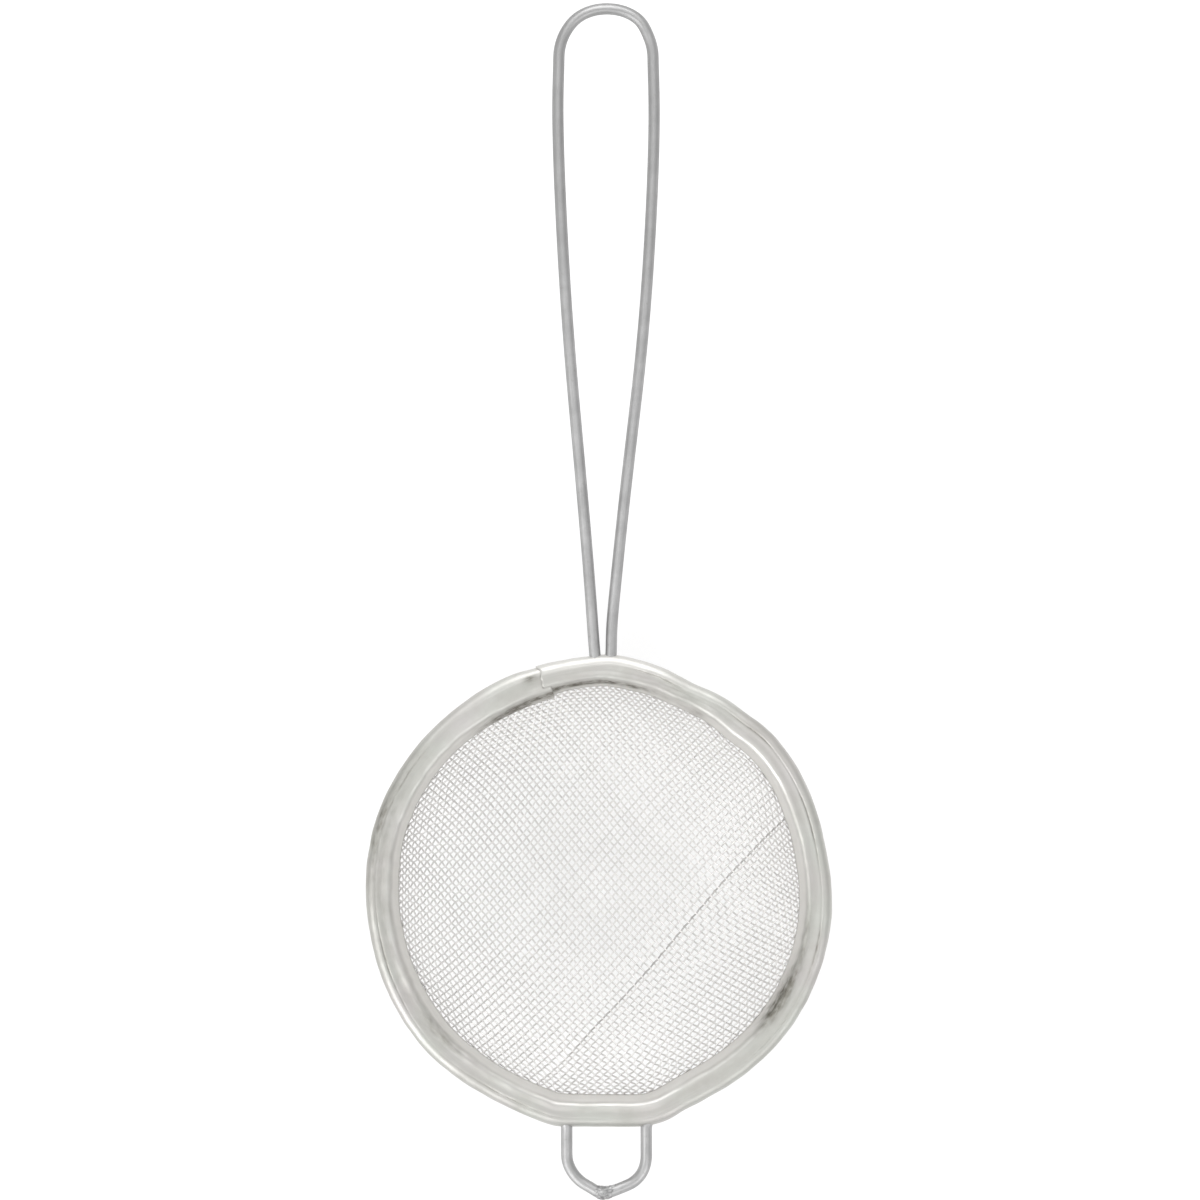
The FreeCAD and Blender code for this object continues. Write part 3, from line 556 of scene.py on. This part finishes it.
def strip_midline():
    """The strip's middle line across its width, from the lip inside the bowl to the clamp outside it.

    Each point is (inward distance from the roll's centre line, height).
    """
    middle = ROLL_RADIUS - SHEET / 2
    lip_radius, lip_level = LIP_EDGE

    def skirt_radius(offset, level):
        return lip_radius + offset / math.cos(LEAN) + (level - lip_level) * math.tan(LEAN)

    def fold(offset, level, edge_level):
        """Points from a skirt's raw edge up through its fold; offset and level are of the middle line."""
        centre_level = level - FOLD_MID_RADIUS
        centre = (skirt_radius(offset + FOLD_MID_RADIUS, centre_level), centre_level)
        edge = (skirt_radius(offset, edge_level), edge_level)
        turn = 180 - math.degrees(LEAN)
        top = polar(FOLD_MID_RADIUS, turn, centre)
        skirt = [(edge[0] + (top[0] - edge[0]) * step / SKIRT_STEPS,
                  edge[1] + (top[1] - edge[1]) * step / SKIRT_STEPS) for step in range(SKIRT_STEPS)]
        bend = [polar(FOLD_MID_RADIUS, turn + (90 - turn) * step / BEND_STEPS, centre)
                for step in range(BEND_STEPS + 1)]
        return [(RING_RADIUS - radius, height) for radius, height in skirt + bend]

    half = SHEET / 2
    edge_drop = half * math.sin(LEAN)            # the raw edges are cut square to the sheet
    lip = fold(half, middle, lip_level - edge_drop)
    clamp_offset = SHEET + 2 * CLOTH_PLAY + CLOTH + half
    clamp = fold(clamp_offset, -middle, -CLAMP_DEPTH - edge_drop)
    face_start, floor_end = lip[-1][0], clamp[-1][0]
    face = [(face_start * share, middle) for share in FACE_STEPS]
    turns = [math.pi * step / ROLL_STEPS for step in range(ROLL_STEPS + 1)]
    roll = [(-middle * math.sin(turn), middle * math.cos(turn)) for turn in turns]
    under_side = [(floor_end * step / FLOOR_STEPS, -middle) for step in range(1, FLOOR_STEPS)]
    return lip + face + roll + under_side + list(reversed(clamp))


# The strip's lapped ends. Travel is in degrees round the rim from the upper end.
SEAM_ANGLE = 105.5
SEAM_LAP = 2.2                                   # degrees of one end lying over the other
OVER_FADE = 5                                    # degrees past the lap where the upper end still stands off
UNDER_STARTS = (352, 359)                        # travel where the lower end begins to be pressed in and is
LAP_LIFT = 0.05                                  # how far the upper end stands off
LAP_SINK = 0.20                                  # how far the lower end is pressed in
# The lower end's fold lies further in than usual, the upper end's further out: travel, travel, millimetres.
UNDER_WIDER = (325, 352, 0.40)
OVER_NARROWER = (4, 26, 0.30)
# The mesh behind the lap: degrees to either side that it takes to even out, and how far further in it lies.
SEAM_EVENED = 6
CLOTH_AT_SEAM = 0.05
RAGGED_CUT = 0.6                                 # degrees by which the upper end's cut wanders
RAGGED_REACH = 2.0                               # degrees of travel that it pulls along
STATIONS = 600                                   # sections round the rim
SKIN_APART = 20.0                                # keeps the patterns of the strip's two skins different


def strip_normals(line):
    """Outward normals of the middle line, away from the wire and the cloth."""
    normals = []
    for index in range(len(line)):
        before = line[max(0, index - 1)]
        after = line[min(len(line) - 1, index + 1)]
        run = math.dist(before, after)
        normals.append(((after[1] - before[1]) / run, -(after[0] - before[0]) / run))
    return normals


# Where the band is wider (+) or narrower (-) than its mean: angle and width in degrees, millimetres.
BAND_WIDTH = [(66, 12, -0.55), (15, 22, -0.15), (285, 20, -0.12), (215, 16, 0.25)]
# Where the sheet's outer turn stands open in a groove on the roll's crest: angle, width, depth.
GROOVES = [(18, 11, 0.9), (46, 7, 1.0), (75, 6, 1.0), (150, 9, 0.5), (198, 12, 0.9), (246, 10, 0.7),
           (322, 9, 0.5), (345, 7, 0.8)]
GROOVE_PLACE = 0.22                              # inwards from the roll's centre line
GROOVE_WIDTH = 0.13
GROOVE_DEPTH = 0.13
# Dark smudges on the face, fold and wall, partly grime and partly painted shade (the ones at 92 and 116
# degrees are the shaded wall at the top): angle, width, strength, how far in and how broad.
GRIME_AND_SHADE_SMUDGES = [(329, 9, 1.3, 2.25, 0.75), (345, 12, 0.5, 2.1, 0.5), (222, 9, 0.55, 1.9, 0.6),
           (92, 17, 1.5, 2.78, 0.28), (116, 10, 1.2, 3.05, 0.5), (62, 3, 0.5, 2.9, 0.4),
           (108, 1.8, 1.0, 0.2, 0.5), (165, 18, 0.25, 0.9, 0.7), (163, 16, 0.7, -0.4, 0.6),
           (203, 26, 0.22, 1.2, 0.9), (67, 12, 0.25, 1.2, 0.9)]
# Painted highlights on the fold: angle, width, strength.
FOLD_HIGHLIGHTS = [(42, 18, 0.9), (283, 26, 0.7), (135, 26, 0.5)]
CREST_HIGHLIGHT_BY_HANDLE = (90, 28, 0.7)                   # painted highlight on the roll's crest by the handle: angle, width, strength

# Heights of the sheet's unevenness: broad swells, ripples, the face's dish, the wave and flutes of the fold.
BROAD = 0.14
RIPPLES = 0.08
DISH = 0.10
EDGE_WAVE = 0.22
FLUTES = 0.12
FACE = (0.3, 1.8)                                # distances inwards over which the roll turns into the face
WALL = (2.2, 2.9)                                # distances inwards over which the face turns into the wall
UPPER_WIDTH = 6.6                                # the strip's width from the lip to the outside of the roll


def widening(angle, travel):
    """How much further in than usual the fold lies; the two lapped ends differ."""
    start, end, narrower = OVER_NARROWER
    over = -narrower * (1 - smooth(start, end, travel))
    return spots(angle, BAND_WIDTH) + rise(travel, *UNDER_WIDER) + over


def cloth_widening(angle):
    """How much further in than usual the mesh's edge lies; it passes evenly behind the lapped ends."""
    travel = (SEAM_ANGLE - angle) % 360
    ends = widening(angle, travel) - spots(angle, BAND_WIDTH)
    near_seam = 1 - smooth(0, SEAM_EVENED, abs(around(angle, SEAM_ANGLE)))
    return spots(angle, BAND_WIDTH) + ends * (1 - near_seam) + CLOTH_AT_SEAM * near_seam


def rim_noise(angle, radius, layer):
    """Noise along the rim, seamless all round; a larger radius makes it busier."""
    return noise.noise(Vector(polar(radius, angle) + (layer,)))


def on_face(height):
    """1 on the strip's upper face, 0 elsewhere."""
    return 1 if height > 0.5 else 0


def strip_relief(angle, inward, height):
    """Millimetres by which the strip stands off its smooth shape, from handling and folding."""
    on_circle = Vector(polar(RING_RADIUS - inward, angle) + (height,))
    inner = smooth(1.2, 3.0, inward)
    relief = BROAD * noise.noise(on_circle * 0.10)
    relief -= DISH * bump(inward, 1.1, 0.6) * on_face(height)
    relief += RIPPLES * noise.noise(on_circle * 0.38 + Vector((3, 9, 1)))
    relief += inner * (EDGE_WAVE * rim_noise(angle, 8.0, 4.0) + FLUTES * rim_noise(angle, 20.0, 8.0))
    wander = 0.12 * rim_noise(angle, 6.0, 1.0)
    groove = bump(inward, GROOVE_PLACE + wander, GROOVE_WIDTH) * on_face(height)
    open_by = 0.25 + spots(angle, GROOVES) * (0.7 + 0.9 * rim_noise(angle, 30.0, 6.0))
    relief -= GROOVE_DEPTH * groove * max(0.0, open_by)
    return relief + (max(relief, CLOTH_PLAY) - relief) * smooth(*WALL, inward)


def grime_and_shade_at(angle, across, inward, height):
    """0 to 1: how dark the strip is painted at a place of its width and length, as painted shade and grime.
    """
    ragged = 0.85 + 0.6 * rim_noise(angle, 26.0, inward * 2)
    # Painted shade in the groove on the roll's crest.
    groove = bump(inward, GROOVE_PLACE, 0.14, 0.8) * on_face(height) * min(1.0, spots(angle, GROOVES))
    # Painted shadow along the lip's raw edge, where it meets the mesh.
    lip_edge_shadow = bump(across, 0, 0.22, 0.35)
    grime_and_shade_smudge = 0.0
    if across < UPPER_WIDTH:
        grime_and_shade_smudge = sum(bump(around(angle, place), 0, width, strength) * bump(inward, depth, breadth)
                     for place, width, strength, depth, breadth in GRIME_AND_SHADE_SMUDGES)
    return max(0.0, min(1.0, (groove + grime_and_shade_smudge) * ragged + lip_edge_shadow))


def rim_band():
    """The folded strip, laid round the rim from its upper end to the end lapped under it."""
    line = strip_midline()
    normals = strip_normals(line)
    turn = 360 + SEAM_LAP
    vertices, flow, grime_and_shade, painted_light = [], [], [], []
    widths = [0.0]
    for first, second in zip(line, line[1:]):
        widths.append(widths[-1] + math.dist(first, second))
    outline = [(index, 1) for index in range(len(line))]
    outline += [(index, -1) for index in reversed(range(len(line)))]
    for station in range(STATIONS + 1):
        travel = turn * station / STATIONS
        over = 1 - smooth(SEAM_LAP, SEAM_LAP + OVER_FADE, travel)
        under = smooth(*UNDER_STARTS, travel)
        for index, side in outline:
            inward, height = line[index]
            wall = smooth(*WALL, inward)
            ragged = RAGGED_CUT * noise.noise(Vector((widths[index] * 0.9, 5.0, 1.0)))
            angle = SEAM_ANGLE - travel - ragged * bump(travel, 0, RAGGED_REACH)
            point, outward = rim_frame(angle)
            off = strip_relief(angle, inward, height) * (1 - 0.6 * over)
            off += over * (LAP_LIFT + LAP_SINK * wall) - under * LAP_SINK * (1 - wall) + side * SHEET / 2
            normal_in, normal_up = normals[index]
            reach = inward + normal_in * off + widening(angle, travel) * smooth(*FACE, inward)
            vertices.append(point - outward * reach + Vector((0, 0, height + normal_up * off)))
            flow.append((math.radians(travel) * RING_RADIUS, widths[index] + side * SKIN_APART, 0.0))
            # The strip's painted shade and grime.
            grime_and_shade.append(grime_and_shade_at(angle, widths[index], inward, height))
            # Painted light: the lip's wall lightened against its shade, and painted highlights on the fold
            # and on the roll's crest by the handle.
            crest_highlight = spots(angle, [CREST_HIGHLIGHT_BY_HANDLE]) * (1 - smooth(0.0, 0.5, inward))
            bright = min(1.0, spots(angle, FOLD_HIGHLIGHTS)) * bump(inward, 2.4, 0.5)
            upper = 1 if widths[index] < UPPER_WIDTH else 0
            painted_light.append(max(smooth(2.1, 2.7, inward), crest_highlight, bright) * upper)
    size = len(outline)
    faces = []
    for station in range(STATIONS):
        for step in range(size):
            following = (step + 1) % size
            low, high = station * size, (station + 1) * size
            faces.append((low + step, high + step, high + following, low + following))
    half = size // 2
    for base, flip in ((0, False), (STATIONS * size, True)):
        for step in range(half - 1):
            quad = (base + step, base + step + 1, base + size - 2 - step, base + size - 1 - step)
            faces.append(tuple(reversed(quad)) if flip else quad)
    piece = make_mesh("rim_band_folded", vertices, faces, {"flow": flow, "grime_and_shade": grime_and_shade, "painted_light": painted_light})
    for end_face in piece.data.polygons[-2 * (half - 1):]:
        end_face.use_smooth = False
    finish_piece(piece, strip_material(), "rim_strip", "rim_band")


# --- Mesh bowl ---------------------------------------------------------------------------------------

def cloth_profile():
    """The dome's radius and its centre's height."""
    middle = SHEET + CLOTH_PLAY + CLOTH / 2
    lead = 0.3                                   # the straight collar ends this far below the lip's raw edge
    radius = LIP_EDGE[0] + middle * math.cos(LEAN) - lead * math.sin(LEAN)
    level = LIP_EDGE[1] - middle * math.sin(LEAN) - lead * math.cos(LEAN)
    dome = radius / math.cos(LEAN)
    return dome, level + dome * math.sin(LEAN)


DOME, DOME_CENTRE = cloth_profile()
DOME_ARC = DOME * (math.pi / 2 - LEAN)           # from the pole to the collar, along the cloth
COLLAR_LENGTH = 2.4
SAG = 0.30                                       # unevenness of the dome
DENTED = (21.0, 30.0)                            # radii over which the cloth takes up the rim's dents
SMOOTHED = (24, 30)                              # radii over which its own unevenness ends


def cloth_point(azimuth, slant):
    """A point of the cloth's middle surface and its normal towards the inside of the bowl."""
    heading = Vector((math.cos(azimuth), math.sin(azimuth), 0))
    on_dome = min(slant, DOME_ARC)
    turn = on_dome / DOME
    radius = DOME * math.sin(turn)
    level = DOME_CENTRE - DOME * math.cos(turn)
    extra = slant - on_dome
    radius += extra * math.cos(turn)
    level += extra * math.sin(turn)
    normal = Vector((0, 0, math.cos(turn))) - heading * math.sin(turn)
    degrees = math.degrees(azimuth)
    rim_shift = rim_point(degrees) - heading * RING_RADIUS
    shift = (rim_shift - heading * cloth_widening(degrees)) * smooth(*DENTED, radius)
    sag = SAG * noise.noise(heading * radius * 0.045 + Vector((0, 0, 3))) * (1 - smooth(*SMOOTHED, radius))
    return heading * radius + shift + Vector((0, 0, level)) + normal * sag, normal


# The cloth went into the bowl a little twisted, so the wires over its pole bend. For either side of the pole:
# degrees of turning for each millimetre and each square millimetre, and the distance where it ends.
WARP_BEND = {1: (0.30, -0.022, 19.0), -1: (-0.32, 0.0, 36.0)}
WEFT_BEND = {1: (-0.60, 0.026, 27.0), -1: (0.52, 0.015, 22.5)}


def drift(distance, steady, growing, end):
    """Degrees by which a wire over the pole has turned at a distance from it."""
    run = min(distance, end)
    return steady * run + growing * run * run


def weave_grid(count):
    """Crossings of the cloth, as unit vectors from the dome's centre.

    Neither set of wires can stretch, so pressed into a dome each cell keeps its sides and only shears.
    """
    def axis(degrees, pitch, bend):
        """Crossings along the wire over the pole, which wanders off its great circle to either side."""
        across = Vector(polar(1.0, degrees) + (0,))
        places = {}
        for side in (1, -1):
            place, heading, turned = Vector((0, 0, -1)), across * side, 0.0
            for step in range(count + 1):
                places[side * step] = place
                turn = drift(step * pitch, *bend[side])
                heading = Quaternion(-place, math.radians(turn - turned)) @ heading
                turned = turn
                run = pitch / DOME
                place, heading = (place * math.cos(run) + heading * math.sin(run),
                                  heading * math.cos(run) - place * math.sin(run))
        return places

    warp_axis = axis(45 + WEAVE_SKEW, WARP_PITCH, WARP_BEND)
    weft_axis = axis(135 - WEAVE_SKEW, WEFT_PITCH, WEFT_BEND)
    grid = {}
    for step in range(-count, count + 1):
        grid[(step, 0)] = warp_axis[step]
        grid[(0, step)] = weft_axis[step]
    for warp_side, weft_side in ((1, 1), (1, -1), (-1, 1), (-1, -1)):
        for i in range(1, count + 1):
            for j in range(1, count + 1):
                warp, weft = warp_side * i, weft_side * j
                corner = grid[(warp - warp_side, weft - weft_side)]
                first = grid[(warp - warp_side, weft)]
                second = grid[(warp, weft - weft_side)]
                middle = (first + second).normalized()
                grid[(warp, weft)] = 2 * corner.dot(middle) * middle - corner
    return grid


CROSSINGS = 50                                   # to either side of the pole
MESH_WIRE_SIDES = 6
SHORTEST = 6                                     # points of the shortest mesh wire that is drawn
UNEVEN_SPACING = 0.05                            # of a pitch
WANDER = 0.07
TONES = (0.85, 1.0)                              # darkest and brightest mesh wire
FLAW_WIRE = -15                                  # one dark wire has slipped towards its neighbour
FLAW_SHIFT = -0.30
FLAW_DEPTH = 0.50                                # how much darker it is
FLAW_FADE = (-27.0, -23.0)                       # where along the handle's line it turns from clean to dark


def wire_line(grid, fixed, along_warp, shift):
    """One mesh wire: unit vectors at and between its crossings, and +1 or -1 where it goes over or under."""
    def at(step, line):
        return grid[(step, line)] if along_warp else grid[(line, step)]

    neighbour = fixed + 1 if fixed < CROSSINGS else fixed
    places = []
    for step in range(-CROSSINGS, CROSSINGS + 1):
        here = at(step, fixed).lerp(at(step, neighbour), shift(step)).normalized()
        over = 1 if (step + fixed) % 2 == 0 else -1
        places.append((here, over if along_warp else -over))
    line = []
    for (first, over), (second, _) in zip(places, places[1:]):
        line.append((first, over))
        line.append(((first + second).normalized(), 0))
    line.append(places[-1])
    return line


def cloth_wires(name, grid, along_warp, material, seed):
    """All wires of one direction as one piece."""
    draw = random.Random(seed)
    vertices, faces, tone = [], [], []
    reach = DOME_ARC + COLLAR_LENGTH
    for fixed in range(-CROSSINGS, CROSSINGS + 1):
        offset = draw.uniform(-UNEVEN_SPACING, UNEVEN_SPACING)
        sway = draw.uniform(0, 100)
        slipped = along_warp and fixed == FLAW_WIRE
        own_tone = draw.uniform(*TONES)
        flaw = FLAW_SHIFT if slipped else 0.0

        def shift(step):
            wander = WANDER * noise.noise(Vector((step * 0.15, sway, 0)))
            return offset + wander + flaw

        points, ups = [], []
        for unit, over in wire_line(grid, fixed, along_warp, shift):
            slant = DOME * math.acos(max(-1.0, min(1.0, -unit.z)))
            if slant > reach:
                if points:
                    break
                continue
            point, normal = cloth_point(math.atan2(unit.y, unit.x), slant)
            points.append(point + normal * over * MESH_WIRE_RADIUS)
            ups.append(normal)
            dark = FLAW_DEPTH * smooth(*FLAW_FADE, point.y) if slipped else 0.0
            tone += [own_tone * (1 - dark)] * MESH_WIRE_SIDES
        if len(points) < SHORTEST:
            del tone[len(vertices):]
            continue
        wire = tube(points, ups, MESH_WIRE_RADIUS, MESH_WIRE_SIDES, False, len(vertices))
        vertices += wire[0]
        faces += wire[1]
    piece = make_mesh(name, vertices, faces, {"tone": tone})
    finish_piece(piece, material, "woven_mesh", "mesh_bowl")


# --- Ear weld ----------------------------------------------------------------------------------------

BEAD_BLUNTNESS = 0.45                            # 1 would be a plain ellipsoid, less has blunter ends
BEAD_SPARE = 0.10                                # left for its lumps
BEAD_SIDEWAYS_AT = -45.5                         # it is shifted as the wire is here on the handle's line


def weld_bead():
    """A lumpy lens of weld metal around the wire's joint at the ear's tip."""
    half_length = (bead_high[0] - bead_low[0]) / 2
    radius = (bead_high[2] - bead_low[2]) / 2 - BEAD_SPARE
    segments, rings = 64, 40
    vertices, faces = [], []
    for ring in range(rings + 1):
        turn = math.pi * ring / rings
        for segment in range(segments):
            spin = 2 * math.pi * segment / segments
            swell = math.sin(turn) ** BEAD_BLUNTNESS if 0 < ring < rings else 0.0
            unit = Vector((math.cos(turn), swell * math.cos(spin), swell * math.sin(spin)))
            lump = 1 + 0.10 * noise.noise(unit * 2.2) + 0.06 * noise.noise(unit * 6.0)
            x = unit.x * half_length * lump
            sideways = min(x * x, EAR_TIP_BEND ** 2 / 2)
            wire_y = EAR_TIP + EAR_TIP_BEND - math.sqrt(EAR_TIP_BEND ** 2 - sideways)
            vertices.append((hand_bent(x, BEAD_SIDEWAYS_AT), wire_y + unit.y * radius * lump,
                             unit.z * radius * lump))
    for ring in range(rings):
        for segment in range(segments):
            following = (segment + 1) % segments
            low, high = ring * segments, (ring + 1) * segments
            faces.append((low + segment, low + following, high + following, high + segment))
    piece = make_mesh("ear_weld_rough", vertices, faces)
    finish_piece(piece, weld_material(), "weld", "ear_weld_bead")


# --- Build -------------------------------------------------------------------------------------------

frame_wire()
rim_band()
crossings = weave_grid(CROSSINGS)
cloth_wires("mesh_warp_wires", crossings, True, cloth_material("warp_steel", 0.82, 0.68, ROSE), 11)
cloth_wires("mesh_weft_wires", crossings, False, cloth_material("weft_steel", 0.80, 0.66, ROSE), 23)
weld_bead()


# --- Floor, light and camera -------------------------------------------------------------------------

FLOOR_HALF = 2.0                                 # metres
FLOOR_GLOW = 0.64
# The room's grey up to the horizon, half way up and straight above: height of the direction, grey.
ROOM = [(0.0, 0.72), (0.72, 0.68), (1.0, 0.76)]


def floor():
    """A plain pale light table just under the bowl."""
    shader = Shader("pale_floor")
    shade = shader.noise(shader.place(), 0.004, 2.0)
    shader.link(shader.blend(shade, grey(0.34), grey(0.36)), "Base Color")
    shader.surface.inputs["Roughness"].default_value = 0.9
    shader.surface.inputs["Emission Color"].default_value = grey(1.0)
    shader.surface.inputs["Emission Strength"].default_value = FLOOR_GLOW
    half = FLOOR_HALF
    mesh = bpy.data.meshes.new("floor")
    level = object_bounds()[0][2]
    mesh.from_pydata([(-half, -half, level), (half, -half, level), (half, half, level), (-half, half, level)],
                     [], [(0, 1, 2, 3)])
    plane = bpy.data.objects.new("floor", mesh)
    bpy.context.scene.collection.objects.link(plane)
    mesh.materials.append(shader.material)
    plane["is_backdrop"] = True


def soft_box(name, azimuth, elevation, size, power):
    """A large square area light a metre from the mouth, turned towards it."""
    distance = 1.0
    across = math.cos(math.radians(elevation))
    x, y = polar(distance * across, azimuth)
    place = Vector((x, y, distance * math.sin(math.radians(elevation))))
    light = bpy.data.lights.new(name, "AREA")
    light.shape = "SQUARE"
    light.size = size
    light.energy = power
    lamp = bpy.data.objects.new(name, light)
    lamp.location = place
    lamp.rotation_euler = (-place).to_track_quat("-Z", "Y").to_euler()
    bpy.context.scene.collection.objects.link(lamp)


def studio():
    """An even bright room, a shade darker half way up, and three soft boxes round the table."""
    world = bpy.data.worlds.new("studio")
    world.use_nodes = True
    bpy.context.scene.world = world
    tree = world.node_tree
    place = tree.nodes.new("ShaderNodeTexCoord")
    split = tree.nodes.new("ShaderNodeSeparateXYZ")
    ramp = tree.nodes.new("ShaderNodeValToRGB")
    back = tree.nodes["Background"]
    tree.links.new(place.outputs["Generated"], split.inputs[0])
    tree.links.new(split.outputs["Z"], ramp.inputs[0])
    tree.links.new(ramp.outputs[0], back.inputs["Color"])
    stops = ramp.color_ramp.elements
    low, middle, high = ROOM
    for stop, (place_on_ramp, shade) in ((stops[0], low), (stops[1], high)):
        stop.position, stop.color = place_on_ramp, grey(shade)
    stops.new(middle[0]).color = grey(middle[1])
    back.inputs["Strength"].default_value = 1.0
    soft_box("behind_handle", 92, 42, 0.8, 4.8)
    soft_box("left_front", 220, 40, 0.8, 5.0)
    soft_box("right_front", 312, 45, 0.6, 2.0)


def camera():
    """Straight down on the mouth, with the whole strainer filling the picture's height."""
    scale = 0.1502                               # millimetres of the mouth's plane to one of 1200 pixels
    lens, sensor, pixels = 150.0, 36.0, 1200
    distance = scale * pixels * lens / sensor
    data = bpy.data.cameras.new("camera")
    data.lens = lens
    data.sensor_width = sensor
    data.clip_end = 20
    view = bpy.data.objects.new("camera", data)
    view.location = (0.075 * MM, 43.56 * MM, distance * MM)
    bpy.context.scene.collection.objects.link(view)
    bpy.context.scene.camera = view


floor()
studio()
camera()
bpy.context.scene.view_settings.view_transform = "Standard"
